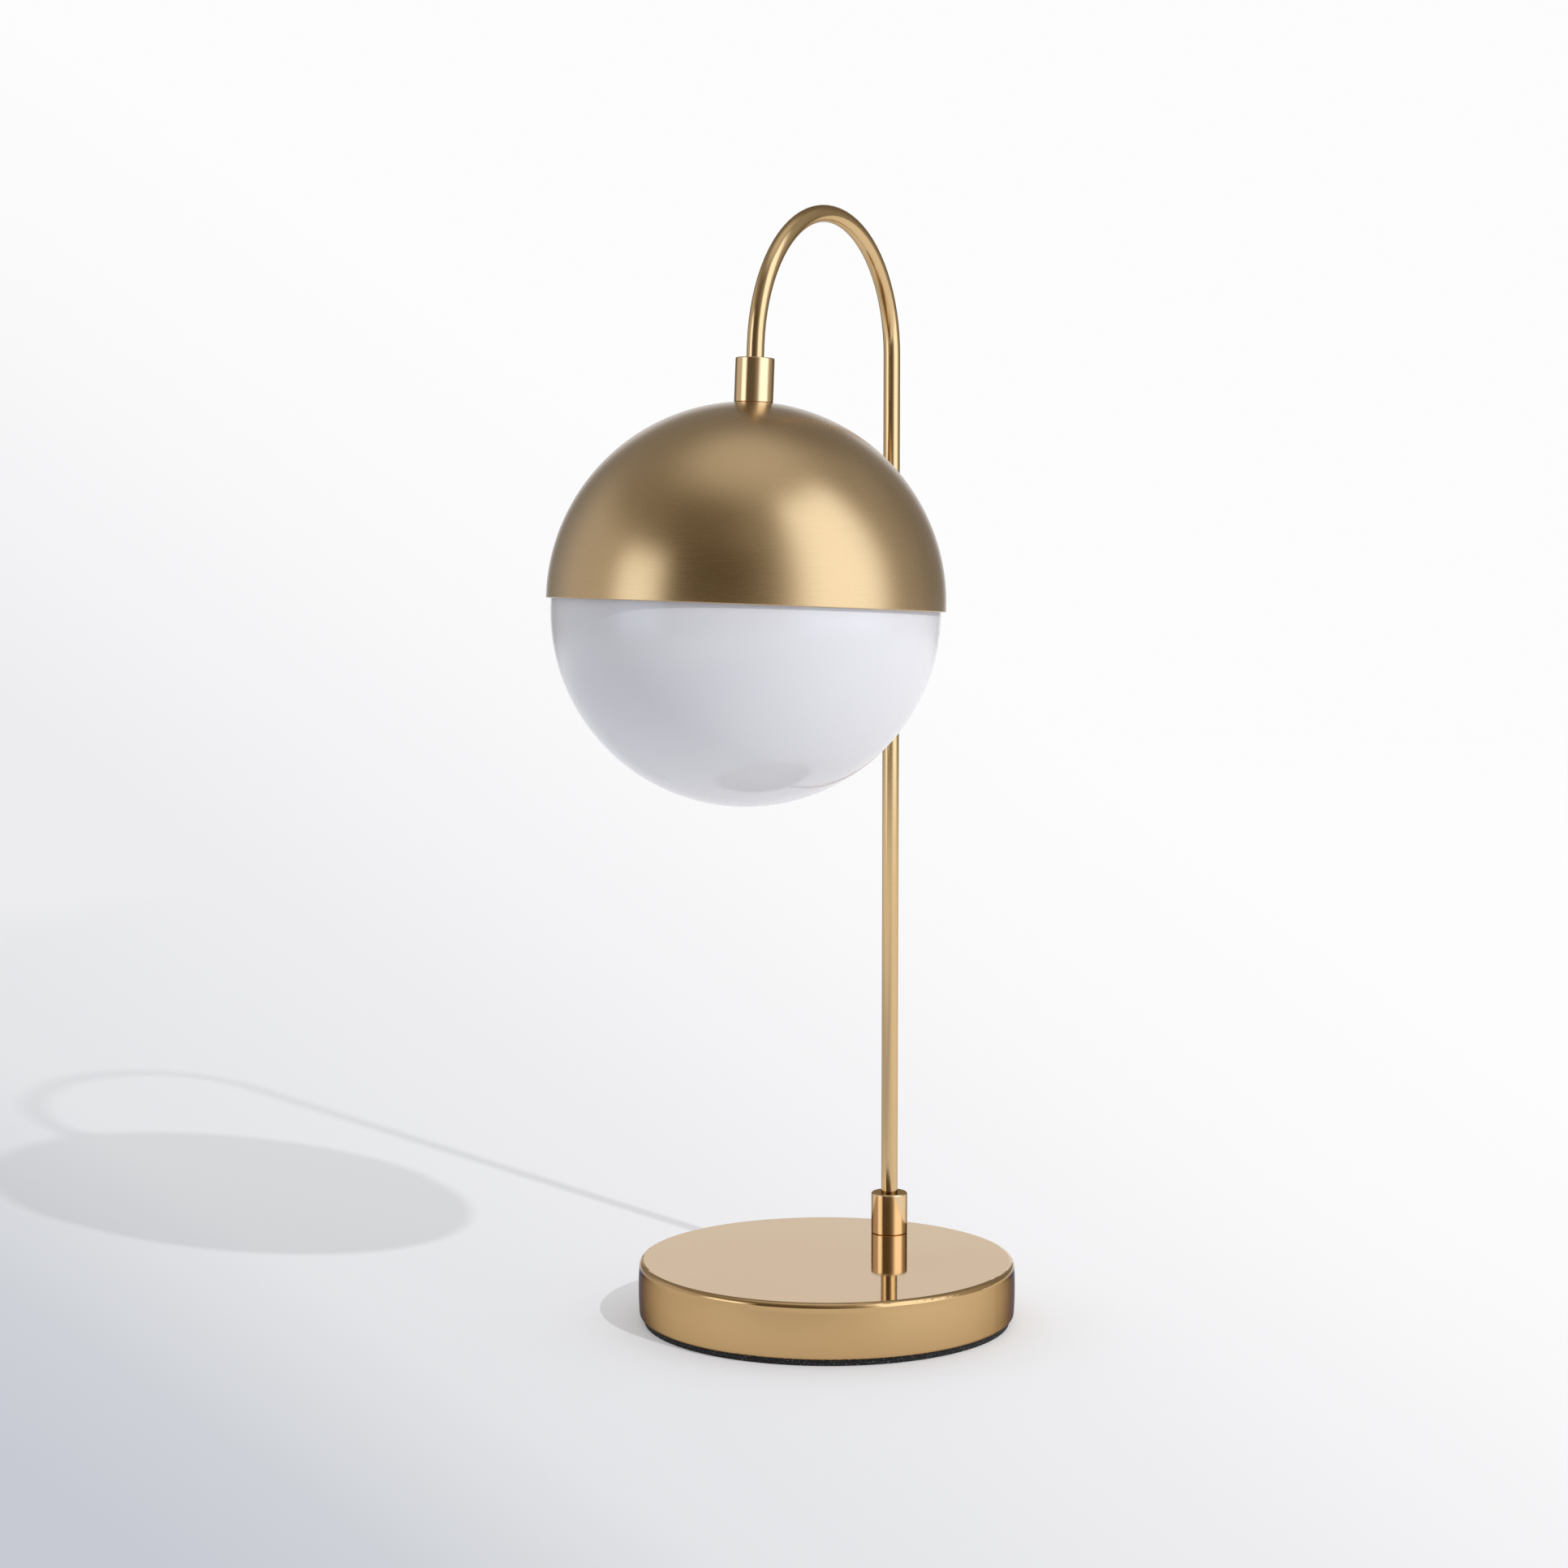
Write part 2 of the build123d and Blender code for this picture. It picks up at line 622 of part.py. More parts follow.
# ================================================================ wiring inside the tube
# Two insulated cores run from the block in the foot, up the tube and over the arch to the terminals.
with BuildPart() as inner_cores:
    for side in (-1, 1):
        x = side * core_half_pitch
        in_block = (side * block_half_pitch, block_rear - block_entry, core_height)
        before_rod = (side * block_half_pitch, (block_y + stem_y) / 2, core_height)
        below_rod = (x, stem_y, core_height)
        stem_end = (x, stem_y, arch_start)
        in_cap = head.from_local_coords((x, 0, insert_top + core_rise))
        over_terminal = head.from_local_coords(
            (side * terminal_half_pitch, 0, insert_top + core_rise - core_fall)
        )
        on_terminal = head.from_local_coords((side * terminal_half_pitch, 0, insert_top))
        with BuildLine() as core_route:
            FilletPolyline(
                in_block, before_rod, below_rod, stem_end, radius=[block_core_bend, foot_core_bend]
            )
            ThreePointArc(stem_end, (x, arch_crown_y, arch_crown_z), (x, arch_end_y, arch_end_z))
            FilletPolyline(
                (x, arch_end_y, arch_end_z), in_cap, over_terminal, on_terminal, radius=core_bend
            )
        with BuildSketch(Plane(origin=in_block, z_dir=(0, 1, 0))):
            Circle(core_radius)
        sweep(path=core_route.wire())

# ================================================================ files
pieces = {
    "foot_cover": foot_cover,
    "ballast": ballast,
    "bottom_plate": bottom_plate,
    "plate_screws": plate_screws,
    "foot_pad": foot_pad,
    "inlet_bush": inlet_bush,
    "terminal_block": terminal_block,
    "block_screws": block_screws,
    "stem_collar": stem_collar,
    "stem_nipple": stem_nipple,
    "foot_washer": foot_washer,
    "spring_washer": spring_washer,
    "foot_nut": foot_nut,
    "arched_tube": arched_tube,
    "shade_collar": shade_collar,
    "shade_nipple": shade_nipple,
    "shade_washer": shade_washer,
    "shade_nut": shade_nut,
    "shade": shade,
    "glass_globe": glass_globe,
    "neck_ring": neck_ring,
    "globe_gasket": globe_gasket,
    "globe_carrier": globe_carrier,
    "holder_cap": holder_cap,
    "holder_skirt": holder_skirt,
    "holder_insert": holder_insert,
    "screw_shell": screw_shell,
    "centre_contact": centre_contact,
    "terminal_screws": terminal_screws,
    "bulb_cap": bulb_cap,
    "bulb_envelope": bulb_envelope,
    "inner_cores": inner_cores,
}

os.makedirs("parts", exist_ok=True)
for name, piece in pieces.items():
    piece.part.label = name
    export_step(piece.part, f"parts/{name}.step")
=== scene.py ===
"""Looks of the globe table lamp, in metres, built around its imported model."""

import json
from math import cos, pi, radians, sin

import bpy
from mathutils import Matrix, Vector


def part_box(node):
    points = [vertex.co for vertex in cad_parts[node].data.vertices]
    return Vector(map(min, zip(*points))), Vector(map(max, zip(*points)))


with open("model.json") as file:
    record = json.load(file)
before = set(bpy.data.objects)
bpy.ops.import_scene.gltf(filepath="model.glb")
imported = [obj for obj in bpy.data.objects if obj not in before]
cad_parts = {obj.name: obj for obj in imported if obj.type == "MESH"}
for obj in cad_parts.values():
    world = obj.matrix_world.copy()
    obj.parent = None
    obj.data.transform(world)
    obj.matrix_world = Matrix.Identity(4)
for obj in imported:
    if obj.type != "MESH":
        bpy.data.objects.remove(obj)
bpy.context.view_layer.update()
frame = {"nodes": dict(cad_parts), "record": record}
nodes = frame["nodes"]

# ---------------------------------------------------------------- camera, fitted to the photograph
PHOTO_SIZE = 1932  # the photograph is square, in pixels
SENSOR = 36.0  # in millimetres
FOCAL_PX = 4628.6
CAMERA_AZIMUTH = radians(29.019)  # from the front (-Y) towards +X
CAMERA_DISTANCE = 1.7630
CAMERA_HEIGHT = 0.45025
CAMERA_YAW = radians(-0.664)
CAMERA_PITCH = radians(-6.232)

# ---------------------------------------------------------------- paper, backdrop and key lamp
WHITE = (1.0, 1.0, 1.0)
FLOOR_RADIUS = 6.0
FLOOR_SIDES = 64
FLOOR_FADE = (1.6, 3.0)  # distance from the foot over which the paper gives way to the backdrop
FLOOR_ALBEDO = 0.80
FLOOR_FILL = 0.69  # the room's light on the floor, as a share of white
PLAIN = (0.90, 0.90, 0.91)  # paper and backdrop away from the wash
# One wash of grey runs over paper and backdrop: painted shade, darker towards one side. Its shades fan out
# from a point on the floor, between the camera and the key lamp. A shade goes by its slant: the way along
# WASH_ACROSS for each metre of the way along WASH_AHEAD.
WASH_POINT = Vector((1.447, -1.261, 0.0))
WASH_ACROSS = Vector((0.451, 0.360, 0.817))
WASH_AHEAD = Vector((-0.492, 0.864, -0.109))
WASH = [  # (slant, colour)
    (-0.27, (0.57, 0.59, 0.65)), (-0.23, (0.62, 0.64, 0.68)), (-0.18, (0.77, 0.78, 0.80)),
    (-0.11, (0.84, 0.84, 0.86)), (-0.02, (0.94, 0.94, 0.95)), (0.05, (0.98, 0.98, 0.98)),
]
LEAST_AHEAD = 0.3  # keeps the slant finite beside the point and behind it
WASH_SIDES = (0.60, 0.80)  # cosine of the turn away from WASH_AHEAD over which the wash sets in
WASH_START = (0.4, 1.0)  # distance from the point over which it sets in
DARK_FADE = (0.6, 1.6)  # distance from the foot over which the darkest shades leave the paper
BACKDROP_DARKEST = -0.11  # the lowest slant that the backdrop takes, so that it stays pale all round
KEY_PLACE = Vector((1.98, -0.82, 1.97))
KEY_RADIUS = 0.024
KEY_POWER = 120.0
# The key's light on the floor, as a share of white, times the cube of its distance.
KEY_ON_FLOOR = KEY_POWER * KEY_PLACE.z / (4 * pi ** 2)

# ---------------------------------------------------------------- the room round the lamp
# Azimuths are in degrees round from the front (-Y) towards +X, and elevations in degrees above the
# horizon. An edge is the elevation of its middle and half its width. The walls as metal mirrors them are
# stops of (azimuth, radiance).
WALLS = [
    (-180, 0.25), (-121, 0.25), (-106, 0.40), (-91, 0.60), (-64, 0.60), (-49, 0.44), (-14, 0.105),
    (20, 0.105), (34, 0.15), (49, 0.34), (124, 0.45), (144, 0.36), (164, 0.24), (180, 0.25),
]
UPPER_WALLS = [
    (-180, 0.22), (-121, 0.27), (-91, 0.31), (-49, 0.26), (-14, 0.16), (14, 0.18), (34, 0.30), (64, 0.36),
    (154, 0.38), (180, 0.22),
]
UPPER_WALLS_EDGE = (33, 9)
CEILING = 0.70
CEILING_EDGE = (66, 15)
# Softboxes and the lit end wall: (azimuth from, to, half of its soft edge, the same for the elevation,
# radiance).
SOFTBOXES = [
    (60, 117, 13, -30, 60, 9, 1.64),
    (-50, -20, 8, -30, 26, 7, 1.54),
    (-168, -134, 6, -30, 20, 6, 0.86),
]
# The colour of each radiance: dim parts of the room are warm, and the softboxes are cool.
ROOM_COLOURS = [
    (0.0, (0.0, 0.0, 0.0)), (0.12, (0.14, 0.118, 0.085)), (0.42, (0.43, 0.42, 0.40)),
    (0.86, (0.86, 0.86, 0.88)), (1.6, (1.55, 1.72, 1.95)), (2.0, (2.0, 2.0, 2.0)),
]
# The same room as it lights pale surfaces, which see it through the softboxes' cloth.
FILL = [
    (-180, 0.90), (-151, 0.98), (-91, 0.95), (-51, 0.50), (-6, 0.26), (29, 0.32), (69, 0.54),
    (109, 0.78), (149, 0.80), (180, 0.86),
]
FILL_CEILING = 0.72
FILL_CEILING_EDGE = (50, 25)
DEGREES = 180 / pi  # in a radian

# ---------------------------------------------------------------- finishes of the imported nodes
NOISE_LOW, NOISE_HIGH = 0.3, 0.7  # nearly all of a noise lies between these
GRAIN_DEPTH = 0.0002
WAVE_DEPTH = 0.001
MOULDED_GRAIN_SIZE = 0.0006
SATIN_FADE = 0.003  # height over which polish turns to satin
EDGE_FADE = 0.001  # half the height over which the edge tint sets in
FOOT_POLISHED = 0.002  # how far down from the foot's top its polish reaches
# The arguments of plated_metal, by material slot.
METALS = {
    "polished_gold": dict(
        tint=(0.65, 0.43, 0.205), shadow_tint=(0.63, 0.41, 0.19), roughness=0.05, grain=0.02,
        grain_size=0.0008, orange_peel=0.01, edge=(0.10, 0.13, 0.24),
        satin=0.27, satin_below=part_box("foot_cover")[1][2] - FOOT_POLISHED,
    ),
    "satin_gold": dict(
        tint=(0.61, 0.415, 0.205), shadow_tint=(0.59, 0.395, 0.19), roughness=0.27, grain=0.003,
        grain_size=0.0005, coat=0.25, spun=30.0, edge=(0.84, 0.82, 0.80), uneven=0.06,
    ),
    "tube_gold": dict(
        tint=(0.71, 0.50, 0.265), shadow_tint=(0.68, 0.475, 0.245), roughness=0.11, grain=0.02,
        grain_size=0.0006, edge=(0.55, 0.52, 0.50),
    ),
    "collar_gold": dict(
        tint=(0.86, 0.62, 0.36), shadow_tint=(0.82, 0.59, 0.34), roughness=0.12, grain=0.02,
        grain_size=0.0005, edge=(0.18, 0.16, 0.16),
    ),
    "ballast_iron": dict(
        tint=(0.16, 0.16, 0.17), shadow_tint=(0.10, 0.10, 0.10), roughness=0.6, grain=0.6,
        grain_size=0.0015,
    ),
    "zinc_steel": dict(
        tint=(0.62, 0.63, 0.64), shadow_tint=(0.52, 0.53, 0.54), roughness=0.33, grain=0.15,
        grain_size=0.0008,
    ),
    "contact_brass": dict(
        tint=(0.74, 0.54, 0.24), shadow_tint=(0.62, 0.43, 0.18), roughness=0.28, grain=0.1,
        grain_size=0.0008,
    ),
    "bulb_metal": dict(
        tint=(0.78, 0.78, 0.79), shadow_tint=(0.68, 0.68, 0.69), roughness=0.30, grain=0.1,
        grain_size=0.0008,
    ),
}
# Moulded finishes, by material slot: (light colour, dark colour, roughness).
MOULDED = {
    "black_rubber": ((0.035, 0.035, 0.036), (0.02, 0.02, 0.02), 0.7),
    "clear_gasket": ((0.80, 0.80, 0.77), (0.72, 0.72, 0.70), 0.4),
    "block_plastic": ((0.82, 0.82, 0.78), (0.74, 0.74, 0.70), 0.45),
    "core_insulation": ((0.74, 0.74, 0.72), (0.66, 0.66, 0.64), 0.35),
    "holder_plastic": ((0.035, 0.034, 0.034), (0.022, 0.022, 0.022), 0.4),
    "holder_ceramic": ((0.84, 0.82, 0.78), (0.76, 0.74, 0.70), 0.55),
    "bulb_glass": ((0.86, 0.86, 0.84), (0.82, 0.82, 0.80), 0.25),
}
# Painted shade: the glass is lighter at its bottom and darker up towards the shade's rim.
OPAL_PAINTED_SHADE = [(0.0, (0.88, 0.88, 0.94)), (1.0, (0.80, 0.80, 0.86))]  # from the globe's bottom to the shade's rim
OPAL_STRAY = 0.1  # the share of that height by which the colour strays
FOAM = [(0.55, (0.012, 0.012, 0.014)), (0.72, (0.16, 0.16, 0.16))]  # black, and grey where a noise is high


# ---------------------------------------------------------------- node helpers
class Graph:
    """Adds and links the nodes of one material or world."""

    def __init__(self, tree):
        self.tree = tree
        tree.nodes.clear()

    def feed(self, socket, value):
        """Links the socket to another node's output, or sets it to a plain value."""
        if isinstance(value, bpy.types.NodeSocket):
            self.tree.links.new(value, socket)
        else:
            socket.default_value = value

    def add(self, kind, inputs=None, **settings):
        node = self.tree.nodes.new(kind)
        for key, value in settings.items():
            setattr(node, key, value)
        for key, value in (inputs or {}).items():
            self.feed(node.inputs[key], value)
        return node

    def math(self, operation, a, b=0.0, clamp=False):
        return self.add("ShaderNodeMath", {0: a, 1: b}, operation=operation, use_clamp=clamp).outputs[0]

    def vector(self, operation, a, b=(0.0, 0.0, 0.0)):
        """A vector operation, which gives a number where it is a length, distance or dot product."""
        node = self.add("ShaderNodeVectorMath", {0: a, 1: b}, operation=operation)
        is_number = operation in ("LENGTH", "DISTANCE", "DOT_PRODUCT")
        return node.outputs["Value" if is_number else "Vector"]

    def noise(self, place, scale, detail):
        inputs = {"Vector": place, "Scale": scale, "Detail": detail}
        return self.add("ShaderNodeTexNoise", inputs).outputs["Fac"]

    def ramp(self, factor, stops):
        node = self.add("ShaderNodeValToRGB", {"Fac": factor})
        elements = node.color_ramp.elements
        while len(elements) < len(stops):
            elements.new(0.5)
        for element, (place, colour) in zip(elements, stops):
            element.position = place
            element.color = (*colour, 1.0)
        return node.outputs["Color"]

    def span(self, value, low, high, to_low=0.0, to_high=1.0):
        """Maps low to high onto another span, and holds its ends outside them."""
        inputs = {0: value, 1: low, 2: high, 3: to_low, 4: to_high}
        return self.add("ShaderNodeMapRange", inputs, clamp=True).outputs[0]

    def step(self, value, middle, half_width):
        """0 below a soft edge and 1 above it."""
        inputs = {0: value, 1: middle - half_width, 2: middle + half_width}
        return self.add("ShaderNodeMapRange", inputs, interpolation_type="SMOOTHSTEP").outputs[0]

    def window(self, value, low, high, half_width):
        """1 between two soft edges and 0 outside them."""
        past_low = self.step(value, low, half_width)
        return self.math("SUBTRACT", past_low, self.step(value, high, half_width))

    def blend(self, value, other, amount):
        node = self.add("ShaderNodeMix", {"Factor": amount, "A": value, "B": other}, data_type="FLOAT")
        return node.outputs["Result"]

    def mix(self, factor, first, second):
        """Mixes two colours, each another node's output or three numbers."""
        node = self.add("ShaderNodeMix", {"Factor": factor}, data_type="RGBA")
        # The node has sockets of every type under the same names: 6, 7 and 2 are the colours.
        for socket, colour in ((node.inputs[6], first), (node.inputs[7], second)):
            self.feed(socket, colour if isinstance(colour, bpy.types.NodeSocket) else (*colour, 1.0))
        return node.outputs[2]

    def mix_shader(self, factor, first, second):
        return self.add("ShaderNodeMixShader", {0: factor, 1: first, 2: second}).outputs[0]

    def bump(self, height, strength, distance, normal=None):
        inputs = {"Height": height, "Strength": strength, "Distance": distance}
        if normal is not None:
            inputs["Normal"] = normal
        return self.add("ShaderNodeBump", inputs).outputs["Normal"]


def new_material(name):
    material = bpy.data.materials.new(name)
    material.use_nodes = True
    graph = Graph(material.node_tree)
    place = graph.add("ShaderNodeTexCoord").outputs["Object"]
    return material, graph, place


def finish_material(material, graph, settings):
    shader = graph.add("ShaderNodeBsdfPrincipled", settings)
    graph.add("ShaderNodeOutputMaterial", {"Surface": shader.outputs["BSDF"]})
    return material


# ---------------------------------------------------------------- materials
def plated_metal(
    name, tint, shadow_tint, roughness, grain, grain_size,
    uneven=0.15, spun=1.0, orange_peel=0.0, edge=WHITE, satin=None, satin_below=None, coat=None,
):
    """Plated or polished metal: cloudy tint, uneven gloss, fine grain and a slight waviness.

    grain and orange_peel are strengths of bump. uneven is the share by which the roughness strays, and
    spun stretches the grain round the vertical axis. edge tints what the metal mirrors at a grazing
    angle. satin is the roughness under the height satin_below, and the edge tint then stays under it too.
    coat is the roughness of a clear coat.
    """
    material, graph, place = new_material(name)
    cloud = graph.noise(place, scale=14.0, detail=4.0)
    colour = graph.ramp(cloud, [(NOISE_LOW, shadow_tint), (NOISE_HIGH, tint)])
    stretch = (1 / spun, 1 / spun, 1.0)
    stretched = graph.add("ShaderNodeMapping", {"Vector": place, "Scale": stretch}).outputs[0]
    fine = graph.noise(stretched, scale=1.0 / grain_size, detail=2.0)
    rough = graph.span(fine, NOISE_LOW, NOISE_HIGH, roughness * (1 - uneven), roughness * (1 + uneven))
    normal = graph.bump(fine, grain, GRAIN_DEPTH)
    if orange_peel:
        wave = graph.noise(place, scale=90.0, detail=1.0)
        normal = graph.bump(wave, orange_peel, WAVE_DEPTH, normal)
    settings = {
        "Base Color": colour,
        "Metallic": 1.0,
        "Roughness": rough,
        "Specular Tint": (*edge, 1.0),
        "Normal": normal,
    }
    if satin_below is not None:
        height = graph.add("ShaderNodeSeparateXYZ", {0: place}).outputs["Z"]
        dulled = graph.span(height, satin_below - SATIN_FADE, satin_below, satin, 0.0)
        side = graph.span(height, satin_below - EDGE_FADE, satin_below + EDGE_FADE, 1.0, 0.0)
        settings["Roughness"] = graph.math("MAXIMUM", rough, dulled)
        settings["Specular Tint"] = graph.mix(side, WHITE, edge)
    if coat is not None:
        settings["Coat Weight"] = 1.0
        settings["Coat Roughness"] = coat
    return finish_material(material, graph, settings)


def moulded(name, light, dark, roughness):
    """Plastic, rubber, ceramic or frosted glass: a faint mottle and a fine surface grain."""
    material, graph, place = new_material(name)
    mottle = graph.noise(place, scale=60.0, detail=3.0)
    fine = graph.noise(place, scale=1.0 / MOULDED_GRAIN_SIZE, detail=2.0)
    return finish_material(material, graph, {
        "Base Color": graph.ramp(mottle, [(NOISE_LOW, dark), (NOISE_HIGH, light)]),
        "Roughness": roughness,
        "Normal": graph.bump(fine, strength=0.15, distance=GRAIN_DEPTH),
    })


def opal_glass():
    """White cased glass: a little milky depth, a wet gloss and a hardly visible hand-blown wave."""
    material, graph, place = new_material("opal_glass")
    height = graph.add("ShaderNodeSeparateXYZ", {0: place}).outputs["Z"]
    bottom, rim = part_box("glass_globe")[0][2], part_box("shade")[0][2]
    cloud = graph.noise(place, scale=9.0, detail=3.0)
    stray = graph.span(cloud, NOISE_LOW, NOISE_HIGH, -OPAL_STRAY, OPAL_STRAY)
    # Painted shade by height, darker towards the shade's rim, with a random stray in tone.
    painted_shade_rise = graph.math("ADD", graph.span(height, bottom, rim), stray)
    wave = graph.noise(place, scale=25.0, detail=1.0)
    return finish_material(material, graph, {
        "Base Color": graph.ramp(painted_shade_rise, OPAL_PAINTED_SHADE),
        "Roughness": 0.09,
        "IOR": 1.5,
        "Normal": graph.bump(wave, strength=0.04, distance=WAVE_DEPTH),
        "Subsurface Weight": 0.25,
        "Subsurface Radius": (0.006, 0.006, 0.007),
        "Subsurface Scale": 1.0,
    })


def speckled_foam():
    """Black cellular foam with grey flecks."""
    material, graph, place = new_material("speckled_foam")
    cell = graph.add("ShaderNodeTexVoronoi", {"Vector": place, "Scale": 900.0}).outputs["Distance"]
    fleck = graph.noise(place, scale=1600.0, detail=2.0)
    return finish_material(material, graph, {
        "Base Color": graph.ramp(fleck, FOAM),
        "Roughness": 0.9,
        "Normal": graph.bump(cell, strength=0.8, distance=0.0006),
    })


def finish_nodes():
    """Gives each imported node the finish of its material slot."""
    finishes = {slot: plated_metal(slot, **look) for slot, look in METALS.items()}
    finishes.update({slot: moulded(slot, *look) for slot, look in MOULDED.items()})
    finishes["opal_glass"] = opal_glass()
    finishes["pad_foam"] = speckled_foam()
    for part in frame["record"]["subparts"]:
        mesh = nodes[part["node"]].data
        mesh.materials.clear()
        mesh.materials.append(finishes[part["material_slot"]])


# ---------------------------------------------------------------- camera, lamp, world and floor
def place_camera():
    """Stands the camera where the photograph was taken from."""
    data = bpy.data.cameras.new("camera")
    data.sensor_width = SENSOR
    data.sensor_fit = "HORIZONTAL"
    data.lens = FOCAL_PX / PHOTO_SIZE * SENSOR
    heading = CAMERA_AZIMUTH - CAMERA_YAW
    forward = Vector((
        -sin(heading) * cos(CAMERA_PITCH),
        cos(heading) * cos(CAMERA_PITCH),
        sin(CAMERA_PITCH),
    ))
    right = forward.cross(Vector((0, 0, 1))).normalized()
    up = right.cross(forward)
    stand = Vector((
        CAMERA_DISTANCE * sin(CAMERA_AZIMUTH),
        -CAMERA_DISTANCE * cos(CAMERA_AZIMUTH),
        CAMERA_HEIGHT,
    ))
    camera = bpy.data.objects.new("camera", data)
    turn = Matrix((right, up, -forward)).transposed().to_4x4()
    camera.matrix_world = Matrix.Translation(stand) @ turn
    bpy.context.scene.collection.objects.link(camera)
    bpy.context.scene.camera = camera


def build_key():
    """The one small lamp that casts the shadows. Metal and glass mirror the room, and not this lamp."""
    data = bpy.data.lights.new("key", "POINT")
    data.energy = KEY_POWER
    data.shadow_soft_size = KEY_RADIUS
    lamp = bpy.data.objects.new("key", data)
    lamp.location = KEY_PLACE
    lamp.visible_glossy = False
    bpy.context.scene.collection.objects.link(lamp)


def wash(graph, place, lowest):
    """The colour of the grey wash at a place on the floor or in a direction of the backdrop.

    place counts from the wash's point, and a direction is one metre long, which is past WASH_START. lowest
    is the slant under which the grey gets no darker.
    """
    # The wash is painted shade: grey laid on as though the light fell off towards one side.
    towards = graph.vector("NORMALIZE", place)
    ahead = graph.vector("DOT_PRODUCT", towards, WASH_AHEAD)
    across = graph.vector("DOT_PRODUCT", towards, WASH_ACROSS)
    slant = graph.math("DIVIDE", across, graph.math("MAXIMUM", ahead, LEAST_AHEAD))
    slant = graph.math("MAXIMUM", slant, lowest)
    low, high = WASH[0][0], WASH[-1][0]
    stops = [((at - low) / (high - low), colour) for at, colour in WASH]
    shade = graph.ramp(graph.span(slant, low, high), stops)
    within_sides = graph.span(ahead, *WASH_SIDES)
    past_start = graph.span(graph.vector("LENGTH", place), *WASH_START)
    return graph.mix(graph.math("MULTIPLY", within_sides, past_start), PLAIN, shade)


def by_azimuth(graph, azimuth, levels):
    """Radiance from stops of (azimuth, radiance)."""
    stops = [(0.5 + angle / 360, (level, level, level)) for angle, level in levels]
    colour = graph.ramp(graph.span(azimuth, -180, 180), stops)
    return graph.add("ShaderNodeRGBToBW", {0: colour}).outputs[0]


def mirrored_radiance(graph, azimuth, elevation):
    """The room as metal mirrors it: walls, ceiling and softboxes."""
    walls = by_azimuth(graph, azimuth, WALLS)
    upper_walls = by_azimuth(graph, azimuth, UPPER_WALLS)
    level = graph.blend(walls, upper_walls, graph.step(elevation, *UPPER_WALLS_EDGE))
    level = graph.blend(level, CEILING, graph.step(elevation, *CEILING_EDGE))
    for az_from, az_to, az_soft, el_from, el_to, el_soft, radiance in SOFTBOXES:
        sideways = graph.window(azimuth, az_from, az_to, az_soft)
        upwards = graph.window(elevation, el_from, el_to, el_soft)
        level = graph.blend(level, radiance, graph.math("MULTIPLY", sideways, upwards))
    return level


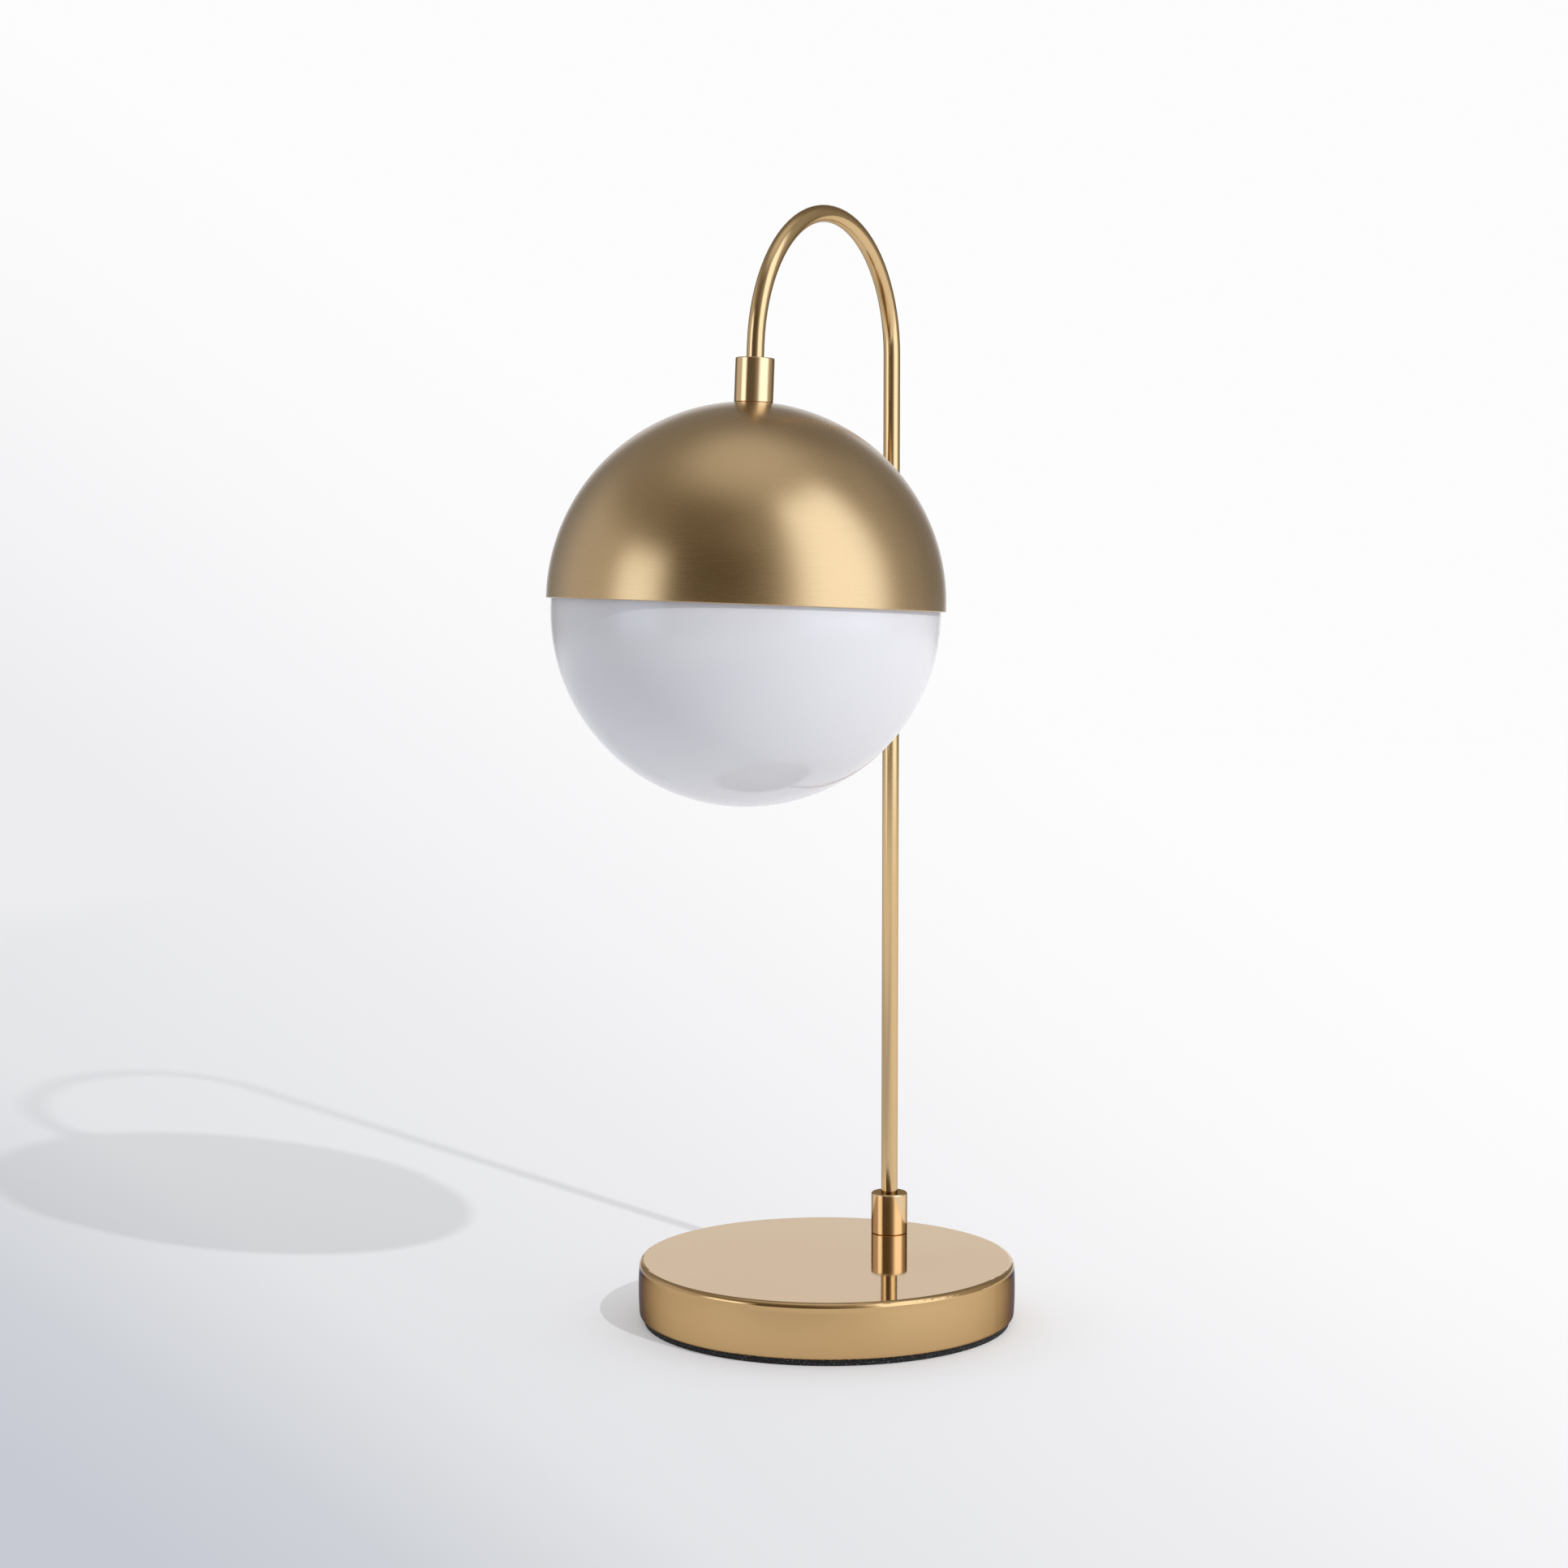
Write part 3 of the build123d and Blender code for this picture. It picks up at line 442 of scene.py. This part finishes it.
def build_world():
    """The camera sees the backdrop, gloss mirrors the room, and the room's fill lights the rest."""
    world = bpy.data.worlds.new("studio")
    bpy.context.scene.world = world
    world.use_nodes = True
    graph = Graph(world.node_tree)
    look = graph.add("ShaderNodeTexCoord").outputs["Generated"]
    way = graph.add("ShaderNodeSeparateXYZ", {0: look})
    towards_front = graph.math("MULTIPLY", way.outputs["Y"], -1.0)
    round_angle = graph.math("ARCTAN2", way.outputs["X"], towards_front)
    azimuth = graph.math("MULTIPLY", round_angle, DEGREES)
    elevation = graph.math("MULTIPLY", graph.math("ARCSINE", way.outputs["Z"]), DEGREES)

    brightest = ROOM_COLOURS[-1][0]
    stops = [(at / brightest, [share / brightest for share in colour]) for at, colour in ROOM_COLOURS]
    radiance = mirrored_radiance(graph, azimuth, elevation)
    room = graph.ramp(graph.math("DIVIDE", radiance, brightest), stops)
    fill_walls = by_azimuth(graph, azimuth, FILL)
    fill = graph.blend(fill_walls, FILL_CEILING, graph.step(elevation, *FILL_CEILING_EDGE))
    # The backdrop carries the same painted shade as the paper.
    backdrop = wash(graph, look, BACKDROP_DARKEST)

    mirrored = graph.add("ShaderNodeBackground", {"Color": room, "Strength": brightest}).outputs[0]
    lit = graph.add("ShaderNodeBackground", {"Color": (*WHITE, 1.0), "Strength": fill}).outputs[0]
    seen = graph.add("ShaderNodeBackground", {"Color": backdrop, "Strength": 1.0}).outputs[0]
    rays = graph.add("ShaderNodeLightPath").outputs
    is_mirrored = graph.math("MAXIMUM", rays["Is Glossy Ray"], rays["Is Transmission Ray"])
    unseen = graph.mix_shader(is_mirrored, lit, mirrored)
    surface = graph.mix_shader(rays["Is Camera Ray"], unseen, seen)
    graph.add("ShaderNodeOutputWorld", {"Surface": surface})


def floor_paper():
    """Paper with the wash on it, which glows by what lamp and room leave short of its colour."""
    material, graph, place = new_material("floor_paper")
    distance = graph.vector("LENGTH", place)
    darkest = graph.span(distance, *DARK_FADE, WASH[0][0], BACKDROP_DARKEST)
    # The paper's colour carries the wash of painted shade.
    paper = wash(graph, graph.vector("SUBTRACT", place, WASH_POINT), darkest)
    dull = graph.add("ShaderNodeVectorMath", {0: paper, "Scale": FLOOR_ALBEDO}, operation="SCALE")
    diffuse = graph.add("ShaderNodeBsdfDiffuse", {"Color": dull.outputs[0]})

    reach_cubed = graph.math("POWER", graph.vector("DISTANCE", place, KEY_PLACE), 3.0)
    light = graph.math("ADD", graph.math("DIVIDE", KEY_ON_FLOOR, reach_cubed), FLOOR_FILL)
    missing = graph.math("SUBTRACT", 1.0, graph.math("MULTIPLY", light, FLOOR_ALBEDO), clamp=True)
    glow = graph.add("ShaderNodeEmission", {"Color": paper, "Strength": missing})

    lit_paper = graph.add("ShaderNodeAddShader", {0: diffuse.outputs[0], 1: glow.outputs[0]})
    gone = graph.add("ShaderNodeBsdfTransparent")
    fade = graph.span(distance, *FLOOR_FADE)
    surface = graph.mix_shader(fade, lit_paper.outputs[0], gone.outputs[0])
    graph.add("ShaderNodeOutputMaterial", {"Surface": surface})
    return material


def build_floor():
    """A round sheet of paper under the foot, which fades into the backdrop."""
    ring = []
    for step in range(FLOOR_SIDES):
        angle = 2 * pi * step / FLOOR_SIDES
        ring.append((FLOOR_RADIUS * cos(angle), FLOOR_RADIUS * sin(angle), 0.0))
    mesh = bpy.data.meshes.new("floor")
    mesh.from_pydata(ring, [], [list(range(FLOOR_SIDES))])
    mesh.materials.append(floor_paper())
    floor = bpy.data.objects.new("floor", mesh)
    bpy.context.scene.collection.objects.link(floor)


finish_nodes()
place_camera()
build_world()
build_key()
build_floor()

bpy.context.scene.view_settings.view_transform = "Standard"
